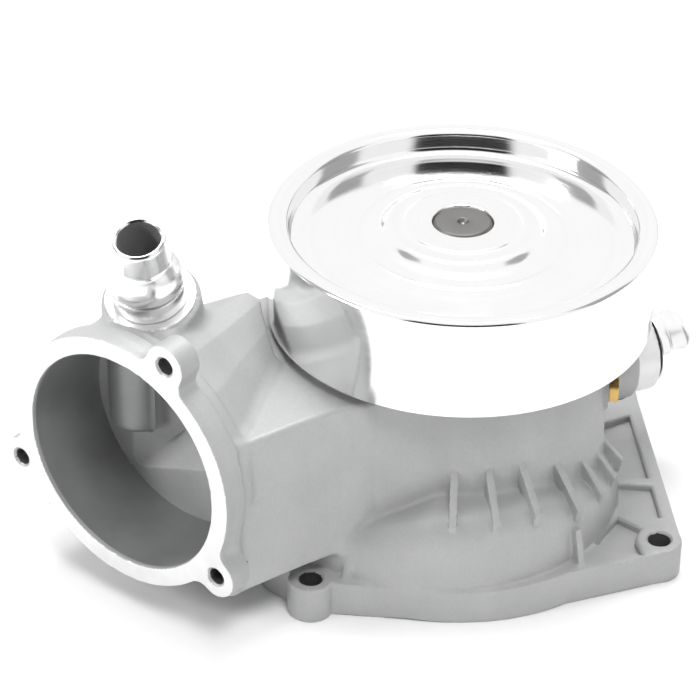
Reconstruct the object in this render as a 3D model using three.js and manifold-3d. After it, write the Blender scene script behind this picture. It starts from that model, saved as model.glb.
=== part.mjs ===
// Belt-driven coolant pump for a heavy-duty diesel engine, as an assembly of separate pieces.
// Millimetres, +Z up. The pump stands on its mounting face, with its shaft upright. The engine
// bolts to the face at z = 0, and the inlet hose or pipe bolts to the round flange facing -Y.

import * as THREE from 'three';
import { mergeVertices } from 'three/addons/utils/BufferGeometryUtils.js';
import Module from 'manifold-3d';

const wasm = await Module();
wasm.setup();

// ------------------------------------------------------------------ driving dimensions

const GAP = 0.3; // clearance between pieces that touch
const SHAFT_AXIS = { x: 9.9, y: 18.6 }; // shaft axis, from the middle of the overall box

const FLANGE = { thickness: 15, rim: 5.5, pocketDepth: 5, frontRadius: 79, leftRadius: 95 };
const BOLT = { circle: 91, holeRadius: 4.5, lugRadius: 8.7 };
const BOLT_ANGLES = [-90.3, 9.9, 78.2, 145, 205]; // about the shaft, degrees

const VOLUTE = { startRadius: 63, growth: 35, endRadius: 89, startAngle: 60, endAngle: -200 };
const DRUM = { radius: 57, draft: 3.5, bottom: 24, roof: 89, wall: 7, floor: 44 };
const TOWER = { radius: 33, bottom: 46, top: 114 };
const EYE_RADIUS = 30;

const INLET = { x: -57.7, z: 67.6, face: -134.9, thickness: 10, ringRadius: 52.5, boreRadius: 45 };
const NECK = { radius: 50, end: -92, length: 36 };
const INLET_LUGS = [
  { angle: 66.4, distance: 57.9 },
  { angle: -158.2, distance: 56 },
  { angle: -33.9, distance: 56.3 },
];
const INLET_LUG = { radius: 8.5, threadRadius: 3.4, chamferRadius: 4.2, chamfer: 0.8, depth: 18 };

const PULLEY = { radius: 75, rimTop: 132, beltFace: 38.6, cavityRadius: 68.5, hubRadius: 22, clearance: 2.7 };
const SHAFT = { top: 133.6, pulleySeat: 11.5, bearing: 13, seal: 10, impeller: 9.5, bottom: 6 };
const BEARING = { bottom: 56, top: 112, outerRadius: 27, raceRadius: 22, pitchRadius: 17.5 };
const BALLS = { count: 8, radius: 4.2, level: 99 };
const ROLLERS = { count: 9, radius: 4.2, length: 14, level: 71 };
const CAGE = { inner: 15.6, outer: 19.4, ballHeight: 12, rollerHeight: 19 };
const SEAL = { cupRadius: 18, cupTop: 51, face: 41.2, faceHeight: 3.2, inner: 11.2, outer: 15 };
const IMPELLER = { radius: 50, plateBottom: 8, plateTop: 12, vaneTop: 35.2, vanes: 7, vaneThickness: 3.6 };

const HEATER_NIPPLE = { tip: [-67.2, -111.2, 152], direction: [0.127, -0.314, 0.94], boss: 19, bore: 8.15 };
const HANGING_BOSS = { x: -79, y: -90.5, radius: 16.5, bottom: 56, top: 100 };
const BYPASS_NIPPLE = { angle: 62, level: 55, boss: 19, bossFace: 83, tube: 12.75, bore: 9.5, tip: 100.5 };
const PLUG = { angle: 34, level: 60, seat: 60.5, threadRadius: 4, headRadius: 6, headHeight: 3.6 };
const RIB_THICKNESS = 2.6;

// ------------------------------------------------------------------ profiles

// Volute wall, outside and inside: [distance from the spiral, height] from the foot to the shoulder.
const VOLUTE_OUTSIDE = [[0, 10], [-0.5, 26], [-2.5, 34], [-6, 40], [-10, 44], [-16, 46]];
const VOLUTE_INSIDE = [[-6.5, -1], [-6.5, 28], [-7.5, 33], [-9.5, 36], [-12, 38]];

// Shoulder ribs: angle about the shaft, height at the drum, reach from the shaft and height there.
const SHOULDER_RIBS = [
  { angle: -54, top: 55, reach: 70.5, level: 42 },
  { angle: -41, top: 56, reach: 70.5, level: 43 },
  { angle: -28, top: 55, reach: 70, level: 42 },
  { angle: -12, top: 52, reach: 69, level: 38 },
  { angle: 3, top: 48, reach: 68.5, level: 34 },
  { angle: 17, top: 46, reach: 67.5, level: 32 },
  { angle: 29, top: 44.5, reach: 66.5, level: 31 },
];

// Gussets on the flange: angle about the shaft, then the side as [radius, height].
const GUSSETS = [
  { angle: -13, side: [[66, 12], [79, 12], [74.5, 30], [66, 30]] },
  { angle: -83, side: [[68, 12], [84, 12], [84, 16], [77, 31], [68, 31]] },
  { angle: -100, side: [[76, 12], [93, 12], [93, 16], [86, 30], [76, 30]] },
];

// Suction drum and chamber, seen from above: the parts of their outlines that aren't round.
const DRUM_FRONT = [[-11, -126], [-9, -117], [1, -84], [11, -67]];
const DRUM_BACK = [[-70, -38], [-84, -70], [-98, -96], [-100, -126]];
const CHAMBER_FRONT = [[-66, -97], [-10.5, -97], [-6, -81.5], [4.5, -63]];
const CHAMBER_BACK = [[-48, -50], [-66, -86]];
const CHAMBER_MOUTH = -97; // where the chamber's floor ends in a step down to the inlet bore

// Raised back of the inlet neck: cross-sections at a given y, from the left foot over to the right.
const NECK_SECTIONS = [
  {
    y: -126,
    line: [[-107, 68], [-104, 86], [-93, 103], [-76, 114], [-58, 117.5], [-40, 114], [-24, 104], [-11, 89]],
  },
  {
    y: -110,
    line: [[-106, 68], [-102, 86], [-92, 101], [-75, 111], [-58, 114], [-42, 111], [-28, 102], [-15.5, 89]],
  },
  {
    y: -90,
    line: [[-98, 68], [-95, 84], [-86, 97], [-72, 106], [-59, 109], [-47, 107], [-36, 100], [-25, 89]],
  },
  {
    y: -55,
    line: [[-85, 68], [-83, 80], [-78, 90], [-70, 98], [-62, 103], [-55, 102], [-47, 97], [-40, 89]],
  },
];
const NECK_FOOT = [-57, 46];

// Throat between the inlet bore and the chamber, as circles that face along Y.
const THROAT = [
  { y: -113, x: -57.7, z: 67.6, radius: 44 },
  { y: -97, x: -61.5, z: 65.5, radius: 38.5 },
  { y: -72, x: -52, z: 66, radius: 27 },
  { y: -52, x: -40, z: 64, radius: 18 },
];

// Pulley from the web's underside round the rim to the hub face: [radius, height].
const PULLEY_UNDERSIDE = [[22, 115], [24, 119], [60, 118], [68.5, 113]];
const PULLEY_DISH = [
  [72.5, 134.8], [69.5, 135], [67.3, 133.5], [66.5, 129], [62, 125.4], [33, 129], [28.2, 132.8],
];

// Heater nipple outside, from its press fit to its tip: [radius, distance from the tip].
const HEATER_PROFILE = [
  [13, -56], [13, -24.8], [14.4, -24], [14.4, -20], [13.6, -17.5], [12, -14.5], [10.6, -12.5], [10.4, -1],
  [9.8, 0],
];

// ------------------------------------------------------------------ finishes

const finish = (color, roughness, metalness) =>
  new THREE.MeshStandardMaterial({ color, roughness, metalness });
const castAluminium = finish(0xb4b5b4, 0.55, 0.6);
const turnedAluminium = finish(0xe6e7e8, 0.22, 0.9);
const groundSteel = finish(0x8d8f92, 0.3, 0.95);
const bearingSteel = finish(0xb9bcc0, 0.2, 0.95);
const cageNylon = finish(0x2b3a2f, 0.6, 0);
const blackRubber = finish(0x151515, 0.7, 0);
const pressedSteel = finish(0xc9c3b0, 0.35, 0.8);
const carbon = finish(0x26272a, 0.4, 0.1);
const ceramic = finish(0xe9e4d8, 0.25, 0);
const castIron = finish(0x5c5e60, 0.6, 0.5);
const brass = finish(0xb08a3a, 0.3, 0.9);

// ------------------------------------------------------------------ solid helpers

const radians = (degrees) => THREE.MathUtils.degToRad(degrees);
const polar = (radius, degrees) => [radius * Math.cos(radians(degrees)), radius * Math.sin(radians(degrees))];

function signedVolume(positions, index) {
  const corner = [0, 1, 2].map(() => new THREE.Vector3());
  let volume = 0;
  for (let i = 0; i < index.length; i += 3) {
    corner.forEach((v, k) => v.fromArray(positions, 3 * index[i + k]));
    volume += corner[0].dot(corner[1].clone().cross(corner[2])) / 6;
  }
  return volume;
}

// A closed three.js geometry as a solid with its faces pointing out.
function solid(geometry) {
  const bare = new THREE.BufferGeometry();
  bare.setAttribute('position', geometry.getAttribute('position').clone());
  if (geometry.index) bare.setIndex(geometry.index.clone());
  const merged = mergeVertices(bare, 1e-4);
  const positions = Float32Array.from(merged.getAttribute('position').array);
  const triVerts = Uint32Array.from(merged.index.array);
  if (signedVolume(positions, triVerts) < 0) {
    for (let i = 0; i < triVerts.length; i += 3) {
      [triVerts[i], triVerts[i + 1]] = [triVerts[i + 1], triVerts[i]];
    }
  }
  return new wasm.Manifold(new wasm.Mesh({ numProp: 3, vertProperties: positions, triVerts }));
}

function geometryOf(manifold) {
  const mesh = manifold.getMesh();
  const geometry = new THREE.BufferGeometry();
  geometry.setAttribute('position', new THREE.BufferAttribute(Float32Array.from(mesh.vertProperties), 3));
  geometry.setIndex(new THREE.BufferAttribute(Uint32Array.from(mesh.triVerts), 1));
  geometry.computeVertexNormals();
  return geometry;
}

const joined = (...solids) => solids.reduce((sum, next) => sum.add(next));
const without = (body, ...tools) => tools.reduce((rest, tool) => rest.subtract(tool), body);

// A solid of revolution about Z from [radius, height] points. A profile off the axis is a ring.
function turned(points, segments = 48) {
  const profile = points.map(([r, z]) => new THREE.Vector2(r, z));
  if (points.some(([r]) => r === 0) === false) profile.push(profile[0].clone());
  return solid(new THREE.LatheGeometry(profile, segments).rotateX(Math.PI / 2));
}

const disc = (radius, bottom, top, segments = 32) =>
  turned([[0, bottom], [radius, bottom], [radius, top], [0, top]], segments);

const tube = (inner, outer, bottom, top, segments = 48) =>
  turned([[inner, bottom], [outer, bottom], [outer, top], [inner, top]], segments);

function plate(outline, bottom, top) {
  const asShape = () => new THREE.Shape(outline.map(([x, y]) => new THREE.Vector2(x, y)));
  const shape = outline instanceof THREE.Shape ? outline : asShape();
  const options = { depth: top - bottom, bevelEnabled: false, curveSegments: 6 };
  const geometry = new THREE.ExtrudeGeometry(shape, options);
  return solid(geometry.translate(0, 0, bottom));
}

// A solid through closed loops of points, one loop after another, closed by a cap at each end.
function loft(loops) {
  const count = loops[0].length;
  const positions = [];
  const index = [];
  loops.forEach((loop) => loop.forEach((point) => positions.push(...point)));
  for (let k = 0; k + 1 < loops.length; k += 1) {
    for (let i = 0; i < count; i += 1) {
      const j = (i + 1) % count;
      const [a, b, c, d] = [k * count + i, k * count + j, (k + 1) * count + j, (k + 1) * count + i];
      index.push(a, b, c, a, c, d);
    }
  }
  const last = loops.length - 1;
  [[loops[0], 0, 1], [loops[last], last * count, -1]].forEach(([loop, first, side]) => {
    const middle = [0, 1, 2].map((axis) => loop.reduce((sum, point) => sum + point[axis] / count, 0));
    const centre = positions.length / 3;
    positions.push(...middle);
    for (let i = 0; i < count; i += 1) {
      const j = (i + 1) % count;
      index.push(...(side > 0 ? [centre, first + j, first + i] : [centre, first + i, first + j]));
    }
  });
  const geometry = new THREE.BufferGeometry();
  geometry.setAttribute('position', new THREE.Float32BufferAttribute(positions, 3));
  geometry.setIndex(index);
  return solid(geometry);
}

// The loop moved outwards by a distance, for draft on outside walls and thickness inside them.
function offsetLoop(points, distance) {
  const count = points.length;
  return points.map(([x, y], i) => {
    const [x0, y0] = points[(i + count - 1) % count];
    const [x1, y1] = points[(i + 1) % count];
    const length = Math.hypot(x1 - x0, y1 - y0);
    return [x + ((y1 - y0) / length) * distance, y - ((x1 - x0) / length) * distance];
  });
}

// Moves a solid made about +Z so that +Z points along a direction, with its zero at a point.
function aimed(manifold, at, direction) {
  const turn = new THREE.Quaternion();
  turn.setFromUnitVectors(new THREE.Vector3(0, 0, 1), new THREE.Vector3(...direction).normalize());
  const matrix = new THREE.Matrix4().compose(new THREE.Vector3(...at), turn, new THREE.Vector3(1, 1, 1));
  return solid(geometryOf(manifold).applyMatrix4(matrix));
}

const aboutShaft = (manifold, degrees) => solid(geometryOf(manifold).rotateZ(radians(degrees)));
const moved = (manifold, x, y, z = 0) => solid(geometryOf(manifold).translate(x, y, z));
const outwards = (degrees) => [...polar(1, degrees), 0];

// ------------------------------------------------------------------ housing: mounting flange

function flangeOutline() {
  const [a, b, c, d, e] = BOLT_ANGLES.map((angle) => polar(BOLT.circle, angle));
  const shape = new THREE.Shape();
  const lug = ([x, y], from, to) => shape.absarc(x, y, BOLT.lugRadius, radians(from), radians(to), false);
  lug(a, -165, 15);
  shape.lineTo(19, -81.7);
  shape.absarc(0, 0, FLANGE.frontRadius, radians(-66), radians(-19), false);
  lug(b, -29, 43.9);
  lug(c, 43.9, 150);
  shape.absarc(0, 0, 84, radians(96), radians(128), false);
  lug(d, 95, 195);
  shape.absarc(0, 0, FLANGE.leftRadius, radians(157), radians(193), false);
  lug(e, 165, 250);
  shape.absarc(0, 0, FLANGE.leftRadius, radians(216), radians(258), false);
  return shape;
}

// Pockets cast into the top of the flange to save weight, between its rim and the volute.
function flangePockets() {
  const floor = FLANGE.thickness - FLANGE.pocketDepth;
  const sector = (inner, outer, from, to) => {
    const steps = [0, 0.25, 0.5, 0.75, 1].map((t) => from + (to - from) * t);
    const outside = steps.map((angle) => outer(angle));
    const inside = steps.reverse().map((angle) => polar(inner, angle));
    return plate([...outside, ...inside], floor, FLANGE.thickness + 1);
  };
  const edge = BOLT.circle * Math.cos(radians(34.2)) + BOLT.lugRadius - FLANGE.rim;
  const alongEdge = (angle) => polar(edge / Math.cos(radians(angle - 43.9)), angle);
  return joined(
    sector(60, alongEdge, 19, 33),
    sector(60, alongEdge, 37, 68),
    plate([[68, -14], [83.5, 2.5], [80, 12], [66, 10]], floor, FLANGE.thickness + 1),
  );
}

// ------------------------------------------------------------------ housing: volute

// The outside radius of the spiral, which grows clockwise from its tongue to the outlet.
function spiralRadius(degrees) {
  const { startRadius, growth, endRadius, startAngle, endAngle } = VOLUTE;
  const travel = (startAngle - degrees + 720) % 360;
  const sweep = startAngle - endAngle;
  if (travel <= sweep) return Math.min(startRadius + (growth * travel) / sweep, endRadius);
  const back = (travel - sweep) / (360 - sweep);
  return endRadius + (startRadius - endRadius) * (0.5 - 0.5 * Math.cos(Math.PI * back));
}

function spiralLoop(offset, z, count) {
  return Array.from({ length: count }, (_, i) => {
    const degrees = (360 * i) / count;
    return [...polar(spiralRadius(degrees) + offset, degrees), z];
  });
}

function volute() {
  return loft(VOLUTE_OUTSIDE.map(([offset, z]) => spiralLoop(offset, z, 48)));
}

function voluteCavity() {
  return loft(VOLUTE_INSIDE.map(([offset, z]) => spiralLoop(offset, z, 40)));
}

// Stiffening ribs that fan out over the shoulder of the volute from the foot of the drum.
function shoulderRibs() {
  const root = DRUM.radius - 7;
  const foot = DRUM.bottom + 14;
  return SHOULDER_RIBS.map(({ angle, top, reach, level }) => {
    const slope = [[reach - 1.5, level - 4], [reach, level], [DRUM.radius + 1.5, top]];
    return aboutShaft(upright([[root, foot], ...slope, [root, top]], RIB_THICKNESS), angle);
  });
}

// A flat piece from its [radius, height] outline, standing on edge in the XZ plane.
function upright(side, thickness) {
  const standing = geometryOf(plate(side, -thickness / 2, thickness / 2)).rotateX(Math.PI / 2);
  return solid(standing);
}

const flangeGussets = () =>
  GUSSETS.map(({ angle, side }) => aboutShaft(upright(side, RIB_THICKNESS), angle));

// ------------------------------------------------------------------ housing: suction drum and neck

// The drum's wall at roof level: straight past the inlet on the right, round about the shaft.
function drumLoop(radius) {
  const round = Array.from({ length: 21 }, (_, i) => polar(radius, -56 + i * 12));
  return [...DRUM_FRONT, ...round, ...DRUM_BACK];
}

function drum() {
  const atRoof = drumLoop(DRUM.radius);
  const atFoot = offsetLoop(atRoof, DRUM.draft);
  const level = (loop, z) => loop.map(([x, y]) => [x, y, z]);
  return loft([level(atFoot, DRUM.bottom), level(atRoof, DRUM.roof)]);
}

function neck() {
  const loop = ({ y, line }) => [...line, NECK_FOOT].map(([x, z]) => [x, y, z]);
  const raised = loft(NECK_SECTIONS.map(loop));
  const barrel = aimed(disc(NECK.radius, 0, NECK.length, 40), [INLET.x, NECK.end, INLET.z], [0, -1, 0]);
  const clearance = disc(PULLEY.radius + PULLEY.clearance, DRUM.roof + 1, 160, 56);
  return without(joined(raised, barrel), clearance);
}

// The water's way from the inlet bore to the space round the bearing tower.
function suctionCavity() {
  const bore = disc(INLET.boreRadius, 0, 30, 48);
  const inlet = aimed(bore, [INLET.x, INLET.face + 29, INLET.z], [0, -1, 0]);
  const circle = ({ y, x, z, radius }) =>
    Array.from({ length: 32 }, (_, i) => {
      const [u, v] = polar(radius, i * 11.25);
      return [x + u, y, z + v];
    });
  const throat = loft(THROAT.map(circle));
  const [near, far, side] = [CHAMBER_MOUTH, 60, 130];
  const shelf = plate([[-side, near], [far, near], [far, far], [-side, far]], 0, DRUM.floor);
  const round = Array.from({ length: 22 }, (_, i) => polar(DRUM.radius - DRUM.wall, -48 + i * 12.4));
  const chamber = plate([...CHAMBER_FRONT, ...round, ...CHAMBER_BACK], DRUM.floor, DRUM.roof - DRUM.wall);
  return joined(inlet, without(throat, shelf), chamber);
}

// ------------------------------------------------------------------ housing: inlet flange

function inletFlange() {
  const ring = disc(INLET.ringRadius, 0, INLET.thickness, 56);
  const lugs = INLET_LUGS.map(({ angle, distance }) => {
    const [x, y] = polar(distance, angle);
    const pad = moved(disc(INLET_LUG.radius, 0, INLET.thickness, 20), x, y);
    const { radius } = INLET_LUG;
    const web = plate([[-radius, -14], [radius, -14], [radius, 0], [-radius, 0]], 0, INLET.thickness);
    return joined(pad, moved(aboutShaft(web, angle - 90), x, y));
  });
  return toInlet(joined(ring, ...lugs));
}

// From the flange's own plane, seen from outside with Z up, to its place on the neck.
function toInlet(manifold) {
  const matrix = new THREE.Matrix4().makeBasis(
    new THREE.Vector3(1, 0, 0), new THREE.Vector3(0, 0, 1), new THREE.Vector3(0, -1, 0),
  );
  matrix.setPosition(INLET.x, INLET.face + INLET.thickness, INLET.z);
  return solid(geometryOf(manifold).applyMatrix4(matrix));
}

function inletThreads() {
  const { threadRadius, chamferRadius, chamfer, depth } = INLET_LUG;
  const top = INLET.thickness + 1;
  const face = INLET.thickness;
  const drill = turned([
    [0, face - depth], [threadRadius, face - depth + 1.5], [threadRadius, face - chamfer],
    [chamferRadius, face], [chamferRadius, top], [0, top],
  ], 14);
  return INLET_LUGS.map(({ angle, distance }) => toInlet(moved(drill, ...polar(distance, angle))));
}

// ------------------------------------------------------------------ housing: bosses and bores

const heaterDirection = new THREE.Vector3(...HEATER_NIPPLE.direction).normalize();
const heaterPoint = (fromTip) =>
  new THREE.Vector3(...HEATER_NIPPLE.tip).addScaledVector(heaterDirection, -fromTip).toArray();
const onHeaterAxis = (manifold, fromTip) => aimed(manifold, heaterPoint(fromTip), heaterDirection.toArray());

const onBypassAxis = (manifold) =>
  aimed(manifold, [0, 0, BYPASS_NIPPLE.level], outwards(BYPASS_NIPPLE.angle));

function bosses() {
  const { boss, bossFace } = BYPASS_NIPPLE;
  const heater = turned([[0, 0], [boss, 0], [boss, 42], [boss - 2, 44], [0, 44]], 28);
  const bypass = turned([[0, 52], [boss, 52], [boss, bossFace - 1], [boss - 1, bossFace], [0, bossFace]], 28);
  const plugSeat = disc(PLUG.headRadius + 2, 50, PLUG.seat - GAP, 20);
  return [
    onHeaterAxis(heater, 80),
    onBypassAxis(bypass),
    aimed(plugSeat, [0, 0, PLUG.level], outwards(PLUG.angle)),
  ];
}

function bores() {
  const holes = BOLT_ANGLES.map((angle) =>
    moved(disc(BOLT.holeRadius, -1, 40, 16), ...polar(BOLT.circle, angle)));
  const bearingBore = disc(BEARING.outerRadius + GAP, BEARING.bottom - GAP, TOWER.top + 1, 40);
  const sealBore = disc(SEAL.cupRadius + GAP, TOWER.bottom - 1, BEARING.bottom, 32);
  return [
    ...holes,
    bearingBore,
    sealBore,
    onHeaterAxis(disc(13.3, 0, 40, 28), 56.3),
    moved(disc(HEATER_NIPPLE.bore, HANGING_BOSS.bottom - 1, 104, 24), HANGING_BOSS.x, HANGING_BOSS.y),
    onBypassAxis(disc(BYPASS_NIPPLE.bore, 40, 90, 24)),
    onBypassAxis(disc(BYPASS_NIPPLE.tube + GAP, BYPASS_NIPPLE.bossFace - 12, 90, 28)),
    aimed(disc(PLUG.threadRadius + GAP, 40, 70, 20), [0, 0, PLUG.level], outwards(PLUG.angle)),
  ];
}

function pumpHousing() {
  const flange = without(plate(flangeOutline(), 0, FLANGE.thickness), flangePockets());
  const pad = disc(BOLT.lugRadius, 0, FLANGE.thickness, 20);
  const pads = BOLT_ANGLES.map((angle) => moved(pad, ...polar(BOLT.circle, angle)));
  const bodies = [volute(), drum(), neck(), inletFlange()];
  const outside = joined(flange, ...pads, ...bodies, ...shoulderRibs(), ...flangeGussets(), ...bosses());
  const shell = without(outside, suctionCavity(), voluteCavity(), disc(EYE_RADIUS, 37, DRUM.floor + 1, 40));
  const tower = disc(TOWER.radius, TOWER.bottom, TOWER.top, 40);
  const { x, y, radius, bottom, top } = HANGING_BOSS;
  const hanging = moved(disc(radius, bottom, top, 28), x, y);
  return without(joined(shell, tower, hanging), ...bores(), ...inletThreads());
}

// ------------------------------------------------------------------ rotating pieces

function pulley() {
  const { radius, rimTop, beltFace, cavityRadius, hubRadius } = PULLEY;
  const bottom = rimTop - beltFace;
  const bore = SHAFT.pulleySeat + GAP;
  return turned([
    [bore, PULLEY_UNDERSIDE[0][1]], ...PULLEY_UNDERSIDE, [cavityRadius + 0.5, bottom], [radius, bottom],
    [radius, rimTop], ...PULLEY_DISH, [hubRadius, SHAFT.top], [bore, SHAFT.top],
  ], 56);
}

function bearingShaft() {
  const { top, pulleySeat, bearing, seal, impeller, bottom } = SHAFT;
  return turned([
    [0, bottom], [impeller - 1, bottom], [impeller, bottom + 1], [impeller, 36.5], [seal, 37], [seal, 55],
    [bearing, 56], [bearing, 112], [pulleySeat, 113], [pulleySeat, top - 0.8],
    [pulleySeat - 0.8, top], [0, top],
  ], 32);
}

// A backward-curved vane, as the outline of a thickened arc from the eye to the rim.
function vaneOutline() {
  const steps = 6;
  const inner = 21;
  const sweep = 58;
  const line = Array.from({ length: steps }, (_, i) => {
    const t = i / (steps - 1);
    return polar(inner + (IMPELLER.radius - 0.5 - inner) * t, -sweep * t ** 1.25);
  });
  const outerSide = offsetLoop(line, IMPELLER.vaneThickness / 2).slice(1, -1);
  const innerSide = offsetLoop(line, -IMPELLER.vaneThickness / 2).slice(1, -1).reverse();
  return [line[0], ...outerSide, line[steps - 1], ...innerSide];
}

function impeller() {
  const { radius, plateBottom, plateTop, vaneTop, vanes } = IMPELLER;
  const hub = turned([
    [0, plateBottom], [15, plateBottom], [radius, plateBottom + 1], [radius, plateTop],
    [20, plateTop + 5], [14, 33], [14, SEAL.face - 4.8], [0, SEAL.face - 4.8],
  ], 40);
  const blade = plate(vaneOutline(), plateTop - 1, vaneTop);
  const blades = Array.from({ length: vanes }, (_, i) => aboutShaft(blade, (360 * i) / vanes));
  return without(joined(hub, ...blades), disc(SHAFT.impeller + GAP, 0, 45, 40));
}

// ------------------------------------------------------------------ bearing

const bearingOuterRing = () =>
  tube(BEARING.raceRadius, BEARING.outerRadius, BEARING.bottom, BEARING.top, 40);

const lipSeal = (bottom) =>
  turned([
    [SHAFT.bearing + GAP, bottom + 1], [SHAFT.bearing + 1.5, bottom], [BEARING.raceRadius - GAP, bottom],
    [BEARING.raceRadius - GAP, bottom + 2.6], [SHAFT.bearing + 2, bottom + 2.6],
    [SHAFT.bearing + GAP, bottom + 1.8],
  ], 28);

function cage(height, level, pocket, count) {
  const ring = tube(CAGE.inner, CAGE.outer, level - height / 2, level + height / 2, 24);
  const pockets = Array.from({ length: count }, (_, i) =>
    moved(pocket, ...polar(BEARING.pitchRadius, (360 * i) / count), level));
  return without(ring, ...pockets);
}

const sphere = (radius, around, down) => solid(new THREE.SphereGeometry(radius, around, down));
const rollerShape = (radius, length) =>
  turned([
    [0, -length / 2], [radius - 0.5, -length / 2], [radius, 0.5 - length / 2],
    [radius, length / 2 - 0.5], [radius - 0.5, length / 2], [0, length / 2],
  ], 10);

const ballCage = () =>
  cage(CAGE.ballHeight, BALLS.level, sphere(BALLS.radius + GAP, 10, 6), BALLS.count);

function rollerCage() {
  const pocket = rollerShape(ROLLERS.radius + GAP, ROLLERS.length + 2 * GAP);
  return cage(CAGE.rollerHeight, ROLLERS.level, pocket, ROLLERS.count);
}

// ------------------------------------------------------------------ shaft seal

const waterSlinger = () =>
  turned([[SHAFT.seal + GAP, 52.4], [15, 52.4], [16.5, 53.6], [15.4, 54.4], [SHAFT.seal + GAP, 54.4]], 28);

function sealCup() {
  const { cupRadius, cupTop } = SEAL;
  const under = TOWER.bottom - GAP;
  return turned([
    [cupRadius, under], [cupRadius, cupTop], [SEAL.inner, cupTop], [SEAL.inner, cupTop - 1.1],
    [cupRadius - 1.2, cupTop - 1.1], [cupRadius - 1.2, under - 1.1], [cupRadius + 3, under - 1.1],
    [cupRadius + 3, under],
  ], 28);
}

const sealFaceRing = () =>
  turned([
    [SEAL.inner, SEAL.face], [SEAL.outer - 0.8, SEAL.face], [SEAL.outer, SEAL.face + 0.8],
    [SEAL.outer, SEAL.face + SEAL.faceHeight], [SEAL.inner, SEAL.face + SEAL.faceHeight],
  ], 28);

function sealBellows() {
  const bottom = SEAL.face + SEAL.faceHeight + GAP;
  const top = SEAL.cupTop - 1.1 - GAP;
  const step = (top - bottom) / 4;
  const outer = [12.4, 13.1, 12.4, 13.1, 12.4].map((r, i) => [r, bottom + i * step]);
  const inner = [11.4, 12.0, 11.4, 12.0, 11.4].map((r, i) => [r, bottom + i * step]).reverse();
  return turned([...outer, ...inner], 24);
}

class Helix extends THREE.Curve {
  constructor(radius, bottom, top, turns) {
    super();
    Object.assign(this, { radius, bottom, top, turns });
  }

  getPoint(t, target = new THREE.Vector3()) {
    const [x, y] = polar(this.radius, 360 * this.turns * t);
    return target.set(x, y, this.bottom + (this.top - this.bottom) * t);
  }
}

function sealSpring() {
  const wire = 0.55;
  const bottom = SEAL.face + SEAL.faceHeight + GAP + wire;
  const top = SEAL.cupTop - 1.1 - GAP - wire;
  const corners = Array.from({ length: 5 }, (_, i) => new THREE.Vector2(...polar(wire, i * 72)));
  const section = new THREE.Shape(corners);
  const path = new Helix(15.2, bottom, top, 2.5);
  return solid(new THREE.ExtrudeGeometry(section, { steps: 48, extrudePath: path, bevelEnabled: false }));
}

const sealMatingRing = () =>
  tube(SHAFT.seal + GAP, SEAL.outer + 0.5, SEAL.face - 4.2, SEAL.face - GAP, 28);

// ------------------------------------------------------------------ nipples and plug

function heaterNipple() {
  const bore = HEATER_NIPPLE.bore;
  const root = HEATER_PROFILE[0][1];
  return onHeaterAxis(turned([[bore, root], ...HEATER_PROFILE, [bore, 0]], 28), 0);
}

function bypassNipple() {
  const { bossFace, tube: outer, bore, tip } = BYPASS_NIPPLE;
  const collar = bossFace + 2;
  return onBypassAxis(turned([
    [bore, bossFace - 11], [outer, bossFace - 11], [outer, collar], [outer + 2.1, collar],
    [outer + 2.1, collar + 4.6], [outer, collar + 5.2], [outer, tip - 2.5], [outer - 0.9, tip - 0.6],
    [outer - 2.4, tip], [bore, tip],
  ], 28));
}

function bypassSealRing() {
  const { bossFace, tube: inner } = BYPASS_NIPPLE;
  return onBypassAxis(turned(
    Array.from({ length: 6 }, (_, i) => {
      const [u, v] = polar(0.7, i * 60);
      return [inner + GAP + 0.85 + u, bossFace + 1 + v];
    }), 32));
}

function brassPlug() {
  const hexagon = Array.from({ length: 6 }, (_, i) => polar(PLUG.headRadius, 60 * i));
  const head = plate(hexagon, PLUG.seat, PLUG.seat + PLUG.headHeight);
  const stem = disc(PLUG.threadRadius, PLUG.seat - 10, PLUG.seat + 1, 20);
  return aimed(joined(head, stem), [0, 0, PLUG.level], outwards(PLUG.angle));
}

// ------------------------------------------------------------------ assembly

const pump = new THREE.Group();
const onShaftAxis = new THREE.Group();
onShaftAxis.position.set(SHAFT_AXIS.x, SHAFT_AXIS.y, 0);
pump.add(onShaftAxis);

function addPiece(name, manifold, material) {
  const mesh = new THREE.Mesh(geometryOf(manifold), material);
  mesh.name = name;
  onShaftAxis.add(mesh);
  return mesh;
}

addPiece('pump_housing', pumpHousing(), castAluminium);
addPiece('pulley', pulley(), turnedAluminium);
addPiece('bearing_shaft', bearingShaft(), groundSteel);
addPiece('impeller', impeller(), castIron);
addPiece('bearing_outer_ring', bearingOuterRing(), bearingSteel);
addPiece('bearing_front_seal', lipSeal(BEARING.top - 3.4), blackRubber);
addPiece('bearing_rear_seal', lipSeal(BEARING.bottom + 0.8), blackRubber);
addPiece('ball_cage', ballCage(), cageNylon);
addPiece('roller_cage', rollerCage(), cageNylon);

const ball = sphere(BALLS.radius, 10, 6);
for (let i = 0; i < BALLS.count; i += 1) {
  const [x, y] = polar(BEARING.pitchRadius, (360 * i) / BALLS.count);
  addPiece(`bearing_ball_${i + 1}`, ball, bearingSteel).position.set(x, y, BALLS.level);
}

const roller = rollerShape(ROLLERS.radius, ROLLERS.length);
for (let i = 0; i < ROLLERS.count; i += 1) {
  const [x, y] = polar(BEARING.pitchRadius, (360 * i) / ROLLERS.count);
  addPiece(`bearing_roller_${i + 1}`, roller, bearingSteel).position.set(x, y, ROLLERS.level);
}

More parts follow.
